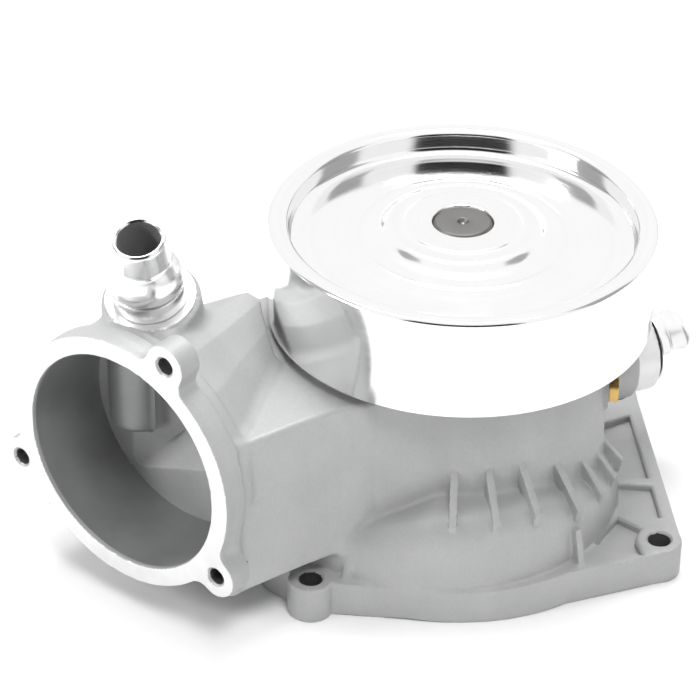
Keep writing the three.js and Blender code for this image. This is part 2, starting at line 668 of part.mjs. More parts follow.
addPiece('water_slinger', waterSlinger(), blackRubber);
addPiece('seal_cup', sealCup(), pressedSteel);
addPiece('seal_bellows', sealBellows(), blackRubber);
addPiece('seal_spring', sealSpring(), bearingSteel);
addPiece('seal_face_ring', sealFaceRing(), carbon);
addPiece('seal_mating_ring', sealMatingRing(), ceramic);
addPiece('heater_nipple', heaterNipple(), turnedAluminium);
addPiece('bypass_nipple', bypassNipple(), turnedAluminium);
addPiece('bypass_seal_ring', bypassSealRing(), blackRubber);
addPiece('brass_plug', brassPlug(), brass);

export default pump;
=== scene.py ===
"""Water pump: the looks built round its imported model. Shapes are worked out in millimetres from the
shaft's axis on the mounting face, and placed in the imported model's frame, which is in metres."""

import math
from concurrent.futures import ThreadPoolExecutor

import bmesh
import bpy
import numpy as np
from mathutils import Matrix, Vector


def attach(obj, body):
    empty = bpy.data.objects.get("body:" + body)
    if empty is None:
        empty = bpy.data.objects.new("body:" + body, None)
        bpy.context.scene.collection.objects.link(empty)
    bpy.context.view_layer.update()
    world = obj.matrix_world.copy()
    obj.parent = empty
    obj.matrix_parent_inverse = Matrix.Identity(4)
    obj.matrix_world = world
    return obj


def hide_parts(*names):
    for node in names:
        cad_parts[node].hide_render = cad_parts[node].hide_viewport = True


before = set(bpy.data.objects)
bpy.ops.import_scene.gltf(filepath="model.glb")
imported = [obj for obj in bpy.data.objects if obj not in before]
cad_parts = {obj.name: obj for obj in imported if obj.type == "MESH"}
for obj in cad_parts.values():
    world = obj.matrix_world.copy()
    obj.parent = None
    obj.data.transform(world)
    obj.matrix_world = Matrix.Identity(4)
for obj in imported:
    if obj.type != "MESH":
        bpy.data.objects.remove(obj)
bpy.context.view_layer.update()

# ---------------------------------------------------------------- sizes of the casting, mm

SHAFT_AXIS = (9.9, 18.6)
FLANGE_TOP = 15.0
POCKET_FLOOR = 12.0
BOLT_ANGLES = (-90.3, 9.9, 78.2, 145.0, 205.0)
BOLT_CIRCLE = 91.0
LUG_RADIUS = 8.7
BOLT_HOLE = 4.5
DRUM_RADIUS = 57.0
DRUM_ROOF = 89.0
DRUM_FOOT = 24.0
DRUM_DRAFT = 3.5
CHAMBER_FLOOR = 44.0
TOWER_RADIUS = 33.0
TOWER_TOP = 114.0
BEARING_BORE = 27.3
SEAL_BORE = 18.3
# The gap that is kept round pieces that are pressed in.
FIT = 0.3
WALL = 2.5
INLET_X = -57.7
INLET_Z = 67.6
INLET_FACE = -134.9
INLET_THICKNESS = 10.0
INLET_BORE = 45.0
INLET_RING = 52.5
# Each lug's angle about the inlet, and how far its hole is from the centre.
INLET_LUGS = ((66.4, 57.9), (-158.2, 56.0), (-33.9, 56.3))
INLET_LUG_RADIUS = 8.5
THREAD_HOLE = 3.4
THREAD_DEPTH = 18.0
BARREL_RADIUS = 50.0
PULLEY_SWEEP = 78.0
HEATER_TIP = np.array((-67.2, -111.2, 152.0))
HEATER_AXIS = np.array((0.127, -0.314, 0.94)) / np.linalg.norm((0.127, -0.314, 0.94))
HEATER_BOSS_TOP = 34.0
HEATER_LAND = 17.4
HEATER_BOSS = 19.0
HEATER_TUBE = 13.0
HANGING = (-85.0, -93.0)
HANGING_RADIUS = 12.0
BYPASS_ANGLE = 62.0
BYPASS_LEVEL = 55.0
BYPASS_FACE = 83.0
BYPASS_LAND = 73.0
BYPASS_BOSS = 18.6
BYPASS_SPIGOT = 17.2
BYPASS_BORE = 9.5
BYPASS_TUBE = 12.75
PLUG_ANGLE = 34.0
PLUG_LEVEL = 60.0
PLUG_SEAT = 60.5
PLUG_STEM = 4.0
# Each rib's angle about the shaft, its height at the drum, how far out it goes and its height there.
RIBS = (
    (-54, 57.5, 75.5, 43.5), (-41, 58, 75.5, 43.5), (-28, 58.5, 75, 44.5), (-12, 53.5, 74, 38.5),
    (3, 48.5, 70, 34.5), (17, 43, 68, 31.5), (29, 41, 68, 30.5),
)
# The low ribs at the volute's foot: their angle, and their side view as (distance from the axis, height).
FOOT_RIBS = (
    (-13, [(64, 10), (79, 10), (74.5, 30), (64, 30)]),
    (-83, [(66, 10), (84, 10), (84, 16), (77, 31), (66, 31)]),
    (-100, [(74, 10), (93, 10), (93, 16), (86, 30), (74, 30)]),
)


def polar(radius, degrees):
    """The point at a radius and an angle."""
    a = math.radians(degrees)
    return radius * math.cos(a), radius * math.sin(a)


def arc(centre, radius, start, stop, step):
    """Points on an arc, about step degrees apart."""
    count = max(2, int(abs(stop - start) / step) + 1)
    turns = np.linspace(start, stop, count)
    return [(centre[0] + polar(radius, t)[0], centre[1] + polar(radius, t)[1]) for t in turns]


BYPASS_CENTRE = (0, 0, BYPASS_LEVEL)
BYPASS_AXIS = (*polar(1, BYPASS_ANGLE), 0.0)
PLUG_CENTRE = (0, 0, PLUG_LEVEL)
PLUG_AXIS = (*polar(1, PLUG_ANGLE), 0.0)


# ---------------------------------------------------------------- distance functions, mm


def blend_union(a, b, k):
    """The union of two solids with a cast fillet of about k between them."""
    h = np.maximum(k - np.abs(a - b), 0) / k
    return np.minimum(a, b) - h * h * (k * 0.25)


def blend_cut(a, b, k):
    """Solid a less solid b, with the edge between them rounded by about k."""
    return -blend_union(-a, b, k)


def slab(flat, level, low, high, edge=0.0):
    """An outline's flat distance, made solid from low to high, with its edges rounded."""
    a = flat + edge
    b = np.abs(level - (low + high) / 2) - ((high - low) / 2 - edge)
    return np.minimum(np.maximum(a, b), 0) + np.hypot(np.maximum(a, 0), np.maximum(b, 0)) - edge


def polygon(x, y, corners):
    """Signed distance to a closed outline."""
    best = np.full(x.shape, 1e9, x.dtype)
    inside = np.zeros(x.shape, bool)
    for (ax, ay), (bx, by) in zip(corners, corners[1:] + corners[:1]):
        ex, ey = bx - ax, by - ay
        wx, wy = x - ax, y - ay
        t = np.clip((wx * ex + wy * ey) / (ex * ex + ey * ey + 1e-12), 0, 1)
        best = np.minimum(best, (wx - ex * t) ** 2 + (wy - ey * t) ** 2)
        straddles = (ay > y) != (by > y)
        inside ^= straddles & (wx < wy * (ex / (ey if ey else 1e-9)))
    return np.where(inside, -1, 1) * np.sqrt(best)


class Outline:
    """Signed distance to an outline with many corners, worked out once on a fine grid."""

    def __init__(self, corners, step=0.4, margin=14.0):
        c = np.array(corners, float)
        self.step, self.low = step, c.min(0) - margin
        self.count = np.ceil((c.max(0) + margin - self.low) / step).astype(int) + 1
        x, y = (self.low[i] + np.arange(self.count[i]) * step for i in (0, 1))
        x, y = np.meshgrid(x.astype(np.float32), y.astype(np.float32), indexing="ij")
        self.table = polygon(x, y, [tuple(p) for p in corners]).astype(np.float32)

    def __call__(self, x, y):
        u = np.clip((x - self.low[0]) / self.step, 0, self.count[0] - 1.001)
        v = np.clip((y - self.low[1]) / self.step, 0, self.count[1] - 1.001)
        i, j = u.astype(np.int32), v.astype(np.int32)
        u, v = u - i, v - j
        t = self.table
        low = t[i, j] * (1 - u) + t[i + 1, j] * u
        high = t[i, j + 1] * (1 - u) + t[i + 1, j + 1] * u
        return (low * (1 - v) + high * v).astype(np.float32)


def curved(points, steps=4):
    """Points on a smooth line through the given ones."""
    p = [np.array(q, float) for q in points]
    p = [2 * p[0] - p[1], *p, 2 * p[-1] - p[-2]]
    line = []
    for a, b, c, d in zip(p, p[1:], p[2:], p[3:]):
        for t in np.arange(steps) / steps:
            bend, twist = 2 * a - 5 * b + 4 * c - d, 3 * b - a - 3 * c + d
            line.append(0.5 * (2 * b + (c - a) * t + bend * t**2 + twist * t**3))
    return [tuple(q) for q in [*line, p[-2]]]


def flange_corners():
    """The mounting flange's outline: five lugs, joined by arcs and straight sides."""
    a, b, c, d, e = (polar(BOLT_CIRCLE, t) for t in BOLT_ANGLES)
    lug = lambda centre, start, stop: arc(centre, LUG_RADIUS, start, stop, 6)
    about = lambda radius, start, stop: arc((0, 0), radius, start, stop, 3)
    return [
        *lug(a, -165, 15), (19, -81.7), *about(79, -66, -19), *lug(b, -29, 43.9), *lug(c, 43.9, 150),
        *about(84, 96, 128), *lug(d, 95, 195), *about(95, 157, 193), *lug(e, 165, 250), *about(95, 216, 258),
    ]


def pocket(inner, start, stop):
    """A pocket in the flange's top, from the volute out to the rim of its straight side."""
    edge = BOLT_CIRCLE * math.cos(math.radians(34.2)) + LUG_RADIUS - 5.5
    turns = np.linspace(start, stop, 7)
    outer = [polar(edge / math.cos(math.radians(t - 43.9)), t) for t in turns]
    return [*outer, *(polar(inner, t) for t in turns[::-1])]


def drum_corners():
    """The suction drum's outline, round the shaft and out to the inlet."""
    front = curved([(-11, -126), (-9, -117), (1, -84), (11, -67)])
    back = [(-70, -38), (-84, -70), (-98, -96), (-100, -126)]
    return [*front, *arc((0, 0), DRUM_RADIUS, -56, 184, 4), *back]


def spiral(angle):
    """The outside radius of the volute, which grows clockwise from its tongue to its outlet."""
    travel = np.mod(60.0 - angle, 360.0)
    grown = np.minimum(63 + 35 * travel / 260, 89)
    back = np.clip((travel - 260) / 100, 0, 1)
    return np.where(travel <= 260, grown, 89 - 26 * (0.5 - 0.5 * np.cos(np.pi * back)))


FLANGE = Outline(flange_corners())
POCKETS = (
    Outline(pocket(60, 19, 33)), Outline(pocket(60, 37, 68)),
    Outline([(71, -3), (90, 3.2), (83, 8.5), (79.5, 17), (69, 17)]),
)
DRUM = Outline(drum_corners(), margin=20)
CHAMBER = Outline([
    (-66, -97), (-10.5, -97), (-6, -81.5), (4.5, -63), *arc((0, 0), 50, -48, 212, 5), (-48, -50), (-66, -86),
])
# The volute's outlines are measured from the spiral inwards. They end past the shaft's axis, because
# a loose lump is left round it where they end before it.
PAST_AXIS = -95
SHOULDER = Outline([
    (PAST_AXIS, 0), (0, 0),
    *curved([(0, 16), (-0.4, 28), (-1.8, 37), (-4.8, 43), (-9, 46), (-16, 47)]),
    (PAST_AXIS, 47.4),
], step=0.25)
# Angles about the shaft, and how far the shoulder lies below its full height there.
SHOULDER_DROP = (
    (-180, -145, -82, -60, -30, -12, 3, 17, 29, 90, 180),
    (0, 10, 10, 0, 0, 4, 8.5, 12.5, 14, 10, 0),
)
WATERWAY = Outline([
    (PAST_AXIS, -8), (-6.5, -8),
    *curved([(-6.5, 20), (-6.5, 28), (-7.5, 33), (-9.5, 36), (-12.5, 38)]),
    (PAST_AXIS, 38),
], step=0.3)
# A level y, then the (x, z) corners of the neck's section there, from left to right.
NECK_SECTIONS = (
    (-126, (-107, 68), (-104, 86), (-93, 103), (-76, 114), (-58, 117.5), (-40, 114), (-24, 104), (-11, 89)),
    (-110, (-106, 68), (-102, 86), (-92, 101), (-75, 111), (-58, 114), (-42, 111), (-28, 102), (-15.5, 89)),
    (-90, (-104, 68), (-100, 84), (-88, 98), (-72, 106), (-59, 109), (-47, 107), (-36, 100), (-25, 89)),
    (-55, (-85, 68), (-83, 80), (-78, 90), (-70, 98), (-62, 103), (-55, 102), (-47, 97), (-40, 89)),
)
NECK_FOOT = (-57.0, 46.0)
BORE_END = -97.0
# The way in behind the straight bore, as levels y with the centre's x and z and the radius there.
THROAT = np.array((
    (-98, -58, 66, 40), (-72, -52, 66, 29), (-52, -40, 64, 18),
)).T


def neck(x, y, z):
    """The raised back of the inlet neck, from sections that are joined by straight lines."""
    at = np.array([s[0] for s in NECK_SECTIONS])
    count = len(NECK_SECTIONS[0]) - 1
    cx = [np.interp(y, at, [s[i + 1][0] for s in NECK_SECTIONS]).astype(np.float32) for i in range(count)]
    cz = [np.interp(y, at, [s[i + 1][1] for s in NECK_SECTIONS]).astype(np.float32) for i in range(count)]
    cx.append(np.full_like(x, NECK_FOOT[0]))
    cz.append(np.full_like(x, NECK_FOOT[1]))
    best = np.full(x.shape, 1e9, np.float32)
    inside = np.zeros(x.shape, bool)
    for i in range(count + 1):
        j = (i + 1) % (count + 1)
        ex, ez = cx[j] - cx[i], cz[j] - cz[i]
        wx, wz = x - cx[i], z - cz[i]
        t = np.clip((wx * ex + wz * ez) / (ex * ex + ez * ez), 0, 1)
        best = np.minimum(best, (wx - ex * t) ** 2 + (wz - ez * t) ** 2)
        inside ^= ((cz[i] > z) != (cz[j] > z)) & (wx < wz * ex / np.where(ez == 0, 1e-9, ez))
    across = np.where(inside, -1, 1) * np.sqrt(best)
    return np.maximum(across, np.maximum(-126 - y, y + 55))


def along(x, y, z, origin, axis):
    """How far each point lies along an axis, and how far from it."""
    px, py, pz = x - origin[0], y - origin[1], z - origin[2]
    s = px * axis[0] + py * axis[1] + pz * axis[2]
    return s, np.sqrt(np.maximum(px * px + py * py + pz * pz - s * s, 0))


def rib(x, y, z, degrees, side, thickness=3.0):
    """A thin wall that stands on edge along a ray from the shaft, with its corners rounded."""
    c, s = math.cos(math.radians(degrees)), math.sin(math.radians(degrees))
    outwards, across = x * c + y * s, y * c - x * s
    near = (np.abs(across) < 12) & (outwards > 40)
    d = np.full(x.shape, 12.0, np.float32)
    flat = polygon(outwards[near], z[near], side)
    d[near] = slab(flat, across[near], -thickness / 2, thickness / 2, 0.6)
    return d


def inlet_flange(x, y, z):
    """The round flange at the inlet, with its three lugs."""
    u, v = x - INLET_X, z - INLET_Z
    d = np.hypot(u, v) - INLET_RING
    for angle, distance in INLET_LUGS:
        cx, cz = polar(distance, angle)
        nx, nz = polar(1, angle)
        out, side = (u - cx) * nx + (v - cz) * nz, (v - cz) * nx - (u - cx) * nz
        lug = np.hypot(np.maximum(out, 0) + np.minimum(out + 14, 0), side) - INLET_LUG_RADIUS
        d = blend_union(d, lug, 5.0)
    return slab(d, y, INLET_FACE, INLET_FACE + INLET_THICKNESS, 0.5)


def outside(x, y, z):
    """Signed distance to the casting as if it were solid, before its hollows and holes."""
    radius = np.hypot(x, y)
    angle = np.degrees(np.arctan2(y, x))
    flange = slab(FLANGE(x, y), z, 0, FLANGE_TOP, 0.9)
    for hollow in POCKETS:
        flange = blend_cut(flange, np.maximum(hollow(x, y), POCKET_FLOOR - z), 1.6)
    drop = np.interp(angle, *SHOULDER_DROP).astype(np.float32)
    body = blend_union(flange, np.maximum(SHOULDER(radius - spiral(angle), z + drop), 1 - z), 1.6)
    for degrees in BOLT_ANGLES:
        cx, cy = polar(BOLT_CIRCLE, degrees)
        body = blend_union(body, slab(np.hypot(x - cx, y - cy) - LUG_RADIUS, z, 0, FLANGE_TOP, 0.9), 1.0)
    lean = DRUM_DRAFT * (DRUM_ROOF - z) / (DRUM_ROOF - DRUM_FOOT)
    body = blend_union(body, slab(DRUM(x, y) - lean, z, DRUM_FOOT, DRUM_ROOF, 1.6), 3.0)
    across = np.hypot(x - INLET_X, z - INLET_Z)
    barrel = slab(across - BARREL_RADIUS, y, -128, -118, 1.0)
    low_or_left = np.minimum(z - 62, x + 78)
    barrel = np.minimum(barrel, np.maximum(slab(across - BARREL_RADIUS, y, -128, -92, 1.0), low_or_left))
    raised = blend_union(neck(x, y, z), barrel, 4.0)
    sweep = np.maximum(radius - PULLEY_SWEEP, DRUM_ROOF + 0.5 - z)
    raised = blend_cut(raised, sweep, 1.0)
    body = blend_union(body, raised, 3.5)
    body = blend_union(body, inlet_flange(x, y, z), 4.0)
    s, off = along(x, y, z, HEATER_TIP, -HEATER_AXIS)
    body = blend_union(body, slab(off - HEATER_BOSS, s, HEATER_BOSS_TOP + 1.6, 80, 1.8), 4.0)
    body = np.minimum(body, slab(off - HEATER_LAND, s, HEATER_BOSS_TOP, 70, 0.3))
    s, off = along(x, y, z, BYPASS_CENTRE, BYPASS_AXIS)
    body = blend_union(body, slab(off - BYPASS_BOSS, s, 50, BYPASS_LAND, 1.2), 4.0)
    body = np.minimum(body, slab(off - BYPASS_SPIGOT, s, BYPASS_LAND - 2, BYPASS_FACE, 0.8))
    s, off = along(x, y, z, PLUG_CENTRE, PLUG_AXIS)
    body = blend_union(body, slab(off - 8, s, 50, PLUG_SEAT - FIT, 0.6), 2.0)
    for degrees, top, reach, level in RIBS:
        side = [(50, 36), (reach - 1.5, level - 6), (reach, level), (DRUM_RADIUS + 1.5, top), (50, top)]
        body = blend_union(body, rib(x, y, z, degrees, side), 0.9)
    for degrees, side in FOOT_RIBS:
        body = blend_union(body, rib(x, y, z, degrees, side), 1.6)
    return body


def suction(x, y, z):
    """The water's way in: the bored inlet, the throat behind it and the chamber round the tower."""
    bore = slab(np.hypot(x - INLET_X, z - INLET_Z) - INLET_BORE, y, -150, BORE_END)
    cx, cz, reach = (np.interp(y, THROAT[0], row).astype(np.float32) for row in THROAT[1:])
    throat = np.maximum((np.hypot(x - cx, z - cz) - reach) * 0.85, np.maximum(THROAT[0][0] - y, y + 52))
    chamber = slab(CHAMBER(x, y), z, CHAMBER_FLOOR, DRUM_ROOF - 7, 1.5)
    hollow = blend_union(np.minimum(bore, throat), chamber, 1.5)
    # the chamber's left side is closed by two upright planes, and its floor rises from the inlet
    left_wall = np.minimum((y + 98) * 0.871 - (x + 87) * 0.492, (y + 85) * 0.416 - (x + 64) * 0.909)
    ramp = z - np.minimum(33 + (x + 85) * 0.39 + np.maximum(y - BORE_END, 0) * 1.3, 58)
    filled = np.minimum(np.maximum(ramp * 0.6, y + 72), -left_wall)
    return np.maximum(hollow, -np.maximum(filled, BORE_END - y))


def housing(x, y, z):
    """Signed distance to the pump's casting."""
    radius = np.hypot(x, y)
    skin = np.maximum(outside(x, y, z), -z)
    turn = np.degrees(np.arctan2(y, x))
    way_in = np.maximum(suction(x, y, z), np.minimum(skin + WALL, y + 118))
    way_out = np.maximum(WATERWAY(radius - spiral(turn), z), np.minimum(skin + WALL, z - 6))
    body = blend_cut(skin, way_in, 0.8)
    body = blend_cut(body, way_out, 0.8)
    body = np.maximum(body, -slab(radius - 30, z, 36, CHAMBER_FLOOR + 1))
    body = blend_union(body, slab(radius - TOWER_RADIUS, z, 46, TOWER_TOP, 0.8), 2.0)
    hanging = slab(np.hypot(x - HANGING[0], y - HANGING[1]) - HANGING_RADIUS, z, 54, 100, 3.0)
    body = blend_union(body, hanging, 2.5)
    tools = [
        slab(radius - BEARING_BORE, z, 55.7, 130, 0.0),
        slab(radius - SEAL_BORE, z, 40, 60, 0.0),
        np.maximum(slab(np.hypot(x - HANGING[0], y - HANGING[1]) - 8.15, z, 60, 104), skin + WALL),
    ]
    s, off = along(x, y, z, HEATER_TIP, -HEATER_AXIS)
    tools.append(slab(off - (HEATER_TUBE + FIT), s, 20, 56.3))
    s, off = along(x, y, z, BYPASS_CENTRE, BYPASS_AXIS)
    tools.append(slab(off - BYPASS_BORE, s, 40, 90))
    tools.append(slab(off - (BYPASS_TUBE + FIT), s, BYPASS_FACE - 12, 95))
    s, off = along(x, y, z, PLUG_CENTRE, PLUG_AXIS)
    tools.append(slab(off - (PLUG_STEM + FIT), s, 40, 70))
    for degrees in BOLT_ANGLES:
        cx, cy = polar(BOLT_CIRCLE, degrees)
        off = np.hypot(x - cx, y - cy)
        mouth = np.maximum(off - BOLT_HOLE - 0.6 + (FLANGE_TOP - z), off - BOLT_HOLE - 1.5)
        tools.append(np.maximum(np.minimum(off - BOLT_HOLE, mouth), z - DRUM_FOOT + 2))
    for angle, distance in INLET_LUGS:
        cx, cz = polar(distance, angle)
        off, depth = np.hypot(x - INLET_X - cx, z - INLET_Z - cz), y - INLET_FACE
        mouth = np.maximum(off - 4.3 + depth, off - 6)
        tools.append(np.minimum(slab(off - THREAD_HOLE, depth, -5, THREAD_DEPTH), mouth))
    for tool in tools:
        body = np.maximum(body, -tool)
    return body


# ---------------------------------------------------------------- meshes from distance functions


def sampled(shape, points):
    """shape at many points, a share of them on each core."""
    parts = np.array_split(points, max(1, len(points) // 60000))
    with ThreadPoolExecutor(4) as pool:
        values = pool.map(lambda p: shape(*np.ascontiguousarray(p.T, np.float32)), parts)
    return np.concatenate([np.asarray(v, np.float32) for v in values])


def grid_values(shape, low, count, step, block=4):
    """shape on a grid, worked out only in the blocks that its surface may pass through."""
    blocks = np.ceil(count / block).astype(int)
    corner = np.stack(np.meshgrid(*(np.arange(n) for n in blocks), indexing="ij"), -1).reshape(-1, 3)
    middle = sampled(shape, low + (corner * block + (block - 1) / 2) * step)
    full = blocks * block
    field = np.repeat(np.repeat(np.repeat(middle.reshape(blocks), block, 0), block, 1), block, 2)
    # half a block's diagonal, with room for the stretches where a blended distance is too large
    reach = block * step * 0.87 * 2.2 + 0.6
    near = corner[np.abs(middle) < reach]
    inner = np.stack(np.meshgrid(*(np.arange(block),) * 3, indexing="ij"), -1).reshape(-1, 3)
    cells = (near[:, None, :] * block + inner[None]).reshape(-1, 3)
    flat = np.ravel_multi_index(cells.T, full)
    field.reshape(-1)[flat] = sampled(shape, low + cells * step)
    return field


def crossings(shape, field, low, step, axis):
    """The grid's edges along an axis that pass through the surface, where, and the surface's normal there."""
    ahead = np.moveaxis(field, axis, 0)
    a, b = ahead[:-1], ahead[1:]
    found = np.argwhere((a < 0) != (b < 0))
    first, second = a[tuple(found.T)], b[tuple(found.T)]
    cell = np.insert(found[:, 1:], axis, found[:, 0], axis=1)
    share = first / (first - second)
    point = low + cell * step
    place = point.astype(np.float64)
    place[:, axis] += share * step
    error = sampled(shape, place)
    share = np.clip(share - error / (second - first), 0, 1)
    place[:, axis] = point[:, axis] + share * step
    normal = np.zeros_like(place)
    for way in ((1, -1, -1), (-1, -1, 1), (-1, 1, -1), (1, 1, 1)):
        way = np.array(way, float)
        normal += sampled(shape, place + way * 0.12)[:, None] * way
    normal /= np.linalg.norm(normal, axis=1, keepdims=True) + 1e-12
    return cell, place, normal, first < 0


def contoured(shape, low, high, step):
    """Vertices and quads of the surface where shape is zero, with sharp edges kept (dual contouring)."""
    low = np.array(low, float)
    count = np.ceil((np.array(high) - low) / step).astype(int) + 1
    field = grid_values(shape, low, count, step)
    size = np.array(field.shape)
    sums, keys, quads = [], [], []
    for axis in range(3):
        cell, place, normal, leaves = crossings(shape, field, low, step, axis)
        b, c = (axis + 1) % 3, (axis + 2) % 3
        ring = []
        for db, dc in ((-1, -1), (0, -1), (0, 0), (-1, 0)):
            around = cell.copy()
            around[:, b] += db
            around[:, c] += dc
            ring.append(np.ravel_multi_index(np.clip(around, 0, size - 1).T, size))
            middle = low + (around + 0.5) * step
            off = place - middle
            dot = (off * normal).sum(1)
            nx, ny, nz = normal.T
            rows = np.stack([
                nx**2, nx * ny, nx * nz, ny**2, ny * nz, nz**2,
                nx * dot, ny * dot, nz * dot, *off.T, np.ones(len(normal)),
            ], 1)
            sums.append(rows)
            keys.append(ring[-1])
        ring = np.stack(ring, 1)
        ring[~leaves] = ring[~leaves][:, ::-1]
        quads.append(ring)
    used, index = np.unique(np.concatenate(keys), return_inverse=True)
    rows = np.concatenate(sums)
    total = np.stack([np.bincount(index, rows[:, i], len(used)) for i in range(13)], 1)
    number = total[:, 12:13]
    mean = total[:, 9:12] / number
    a = total[:, [0, 1, 2, 1, 3, 4, 2, 4, 5]].reshape(-1, 3, 3)
    weight = 0.03 * number
    a = a + np.eye(3) * weight[:, :, None]
    offset = np.linalg.solve(a, (total[:, 6:9] + weight * mean)[:, :, None])[:, :, 0]
    offset = np.clip(offset, -0.55 * step, 0.55 * step)
    base = np.stack(np.unravel_index(used, size), 1)
    vertices = low + (base + 0.5) * step + offset
    return vertices, np.searchsorted(used, np.concatenate(quads))


def mesh_object(name, vertices, faces, body, sharp=32.0):
    """An object from vertices in mm about the shaft and faces of equal length."""
    mesh = bpy.data.meshes.new(name)
    faces = np.asarray(faces, np.int32)
    placed = (np.asarray(vertices, float) + (*SHAFT_AXIS, 0)) * 0.001
    mesh.vertices.add(len(placed))
    mesh.vertices.foreach_set("co", placed.astype(np.float32).ravel())
    mesh.loops.add(faces.size)
    mesh.loops.foreach_set("vertex_index", faces.ravel())
    mesh.polygons.add(len(faces))
    mesh.polygons.foreach_set("loop_start", np.arange(0, faces.size, faces.shape[1], dtype=np.int32))
    mesh.polygons.foreach_set("use_smooth", np.ones(len(faces), bool))
    mesh.update(calc_edges=True)
    mesh.validate()
    mesh.set_sharp_from_angle(angle=math.radians(sharp))
    piece = bpy.data.objects.new(name, mesh)
    bpy.context.scene.collection.objects.link(piece)
    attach(piece, body)
    return piece


def rounded(profile, radius=0.35, steps=3):
    """The profile with each inner corner replaced by a small curve."""
    points = [np.array(p[:2], float) for p in profile]
    line = [points[0]]
    for i in range(1, len(points) - 1):
        size = profile[i][2] if len(profile[i]) > 2 else radius
        before, here, after = points[i - 1], points[i], points[i + 1]
        back, ahead = before - here, after - here
        size = min(size, 0.45 * np.linalg.norm(back), 0.45 * np.linalg.norm(ahead))
        start = here + back / np.linalg.norm(back) * size
        stop = here + ahead / np.linalg.norm(ahead) * size
        for t in np.linspace(0, 1, steps + 1):
            line.append((1 - t) ** 2 * start + 2 * t * (1 - t) * here + t * t * stop)
    return np.array([*line, points[-1]])


def lathe(name, profile, body, segments=160, axis=(0, 0, 1), origin=(0, 0, 0), closed=True, sharp=40.0):
    """A turned piece: a profile of (radius, height) turned round an axis."""
    line = np.array(profile, float)
    if closed:
        line = np.vstack([line, line[:1]])
    turn = np.arange(segments) * 2 * np.pi / segments
    ring = np.stack([np.cos(turn), np.sin(turn)], 1)
    vertices = np.zeros((len(line), segments, 3))
    vertices[:, :, :2] = line[:, None, :1] * ring[None]
    vertices[:, :, 2] = line[:, None, 1]
    turned = np.array(Vector((0, 0, 1)).rotation_difference(Vector(axis)).to_matrix())
    vertices = vertices.reshape(-1, 3) @ turned.T + np.array(origin, float)
    i, j = np.meshgrid(np.arange(len(line) - 1), np.arange(segments), indexing="ij")
    k = (j + 1) % segments
    quads = np.stack([i * segments + j, i * segments + k, (i + 1) * segments + k, (i + 1) * segments + j], -1)
    piece = mesh_object(name, vertices, quads.reshape(-1, 4), body, sharp)
    tidy = bmesh.new()
    tidy.from_mesh(piece.data)
    bmesh.ops.remove_doubles(tidy, verts=tidy.verts, dist=1e-7)
    bmesh.ops.recalc_face_normals(tidy, faces=tidy.faces)
    tidy.to_mesh(piece.data)
    tidy.free()
    piece.data.set_sharp_from_angle(angle=math.radians(sharp))
    return piece


# ---------------------------------------------------------------- materials


class Nodes:
    """A material's node tree, with short ways to add to it."""

    def __init__(self, name):
        self.material = bpy.data.materials.new(name)
        self.material.use_nodes = True
        self.tree = self.material.node_tree
        self.shader = self.tree.nodes["Principled BSDF"]

    def add(self, kind, **values):
        node = self.tree.nodes.new(kind)
        for key, value in values.items():
            if hasattr(node, key):
                setattr(node, key, value)
            else:
                node.inputs[key.replace("_", " ").title()].default_value = value
        return node

    def link(self, a, b):
        self.tree.links.new(a, b)

    def set(self, **values):
        for key, value in values.items():
            self.shader.inputs[key.replace("_", " ").title()].default_value = value

    def place(self):
        """The point on the piece, in metres in the model's frame at rest."""
        return self.add("ShaderNodeTexCoord").outputs["Object"]

    def noise(self, vector, scale, detail=2.0, roughness=0.5):
        node = self.add("ShaderNodeTexNoise", scale=scale, detail=detail, roughness=roughness)
        self.link(vector, node.inputs["Vector"])
        return node.outputs["Fac"]

    def ramp(self, value, low, high, start=0.3, stop=0.7):
        """value spread over colours (or greys) from low to high."""
        node = self.add("ShaderNodeValToRGB")
        for element, at, tone in zip(node.color_ramp.elements, (start, stop), (low, high)):
            element.position = at
            element.color = tone if isinstance(tone, tuple) else (tone, tone, tone, 1)
        self.link(value, node.inputs["Fac"])
        return node.outputs["Color"]

    def math(self, operation, a, b=None):
        node = self.add("ShaderNodeMath", operation=operation)
        for socket, value in zip(node.inputs, (a, b)):
            if isinstance(value, (int, float)):
                socket.default_value = value
            elif value is not None:
                self.link(value, socket)
        return node.outputs[0]

    def bump(self, *layers):
        """Bumps on top of each other, from (height, strength, distance in metres)."""
        last = None
        for height, strength, distance in layers:
            node = self.add("ShaderNodeBump", strength=strength, distance=distance)
            self.link(height, node.inputs["Height"])
            if last is not None:
                self.link(last, node.inputs["Normal"])
            last = node.outputs["Normal"]
        self.link(last, self.shader.inputs["Normal"])

    def from_axis(self, origin, axis):
        """Distance from an axis and distance along it, both in metres."""
        shifted = self.add("ShaderNodeVectorMath", operation="SUBTRACT")
        self.link(self.place(), shifted.inputs[0])
        shifted.inputs[1].default_value = origin
        along_axis = self.add("ShaderNodeVectorMath", operation="DOT_PRODUCT")
        self.link(shifted.outputs[0], along_axis.inputs[0])
        along_axis.inputs[1].default_value = axis
        length = self.add("ShaderNodeVectorMath", operation="LENGTH")
        self.link(shifted.outputs[0], length.inputs[0])
        square = self.math("SUBTRACT", self.math("POWER", length.outputs["Value"], 2.0),
                           self.math("POWER", along_axis.outputs["Value"], 2.0))
        return self.math("SQRT", self.math("MAXIMUM", square, 0.0)), along_axis.outputs["Value"]


def grey(tone, warmth=0.0):
    return (tone * (1 + warmth), tone, tone * (1 - warmth), 1)


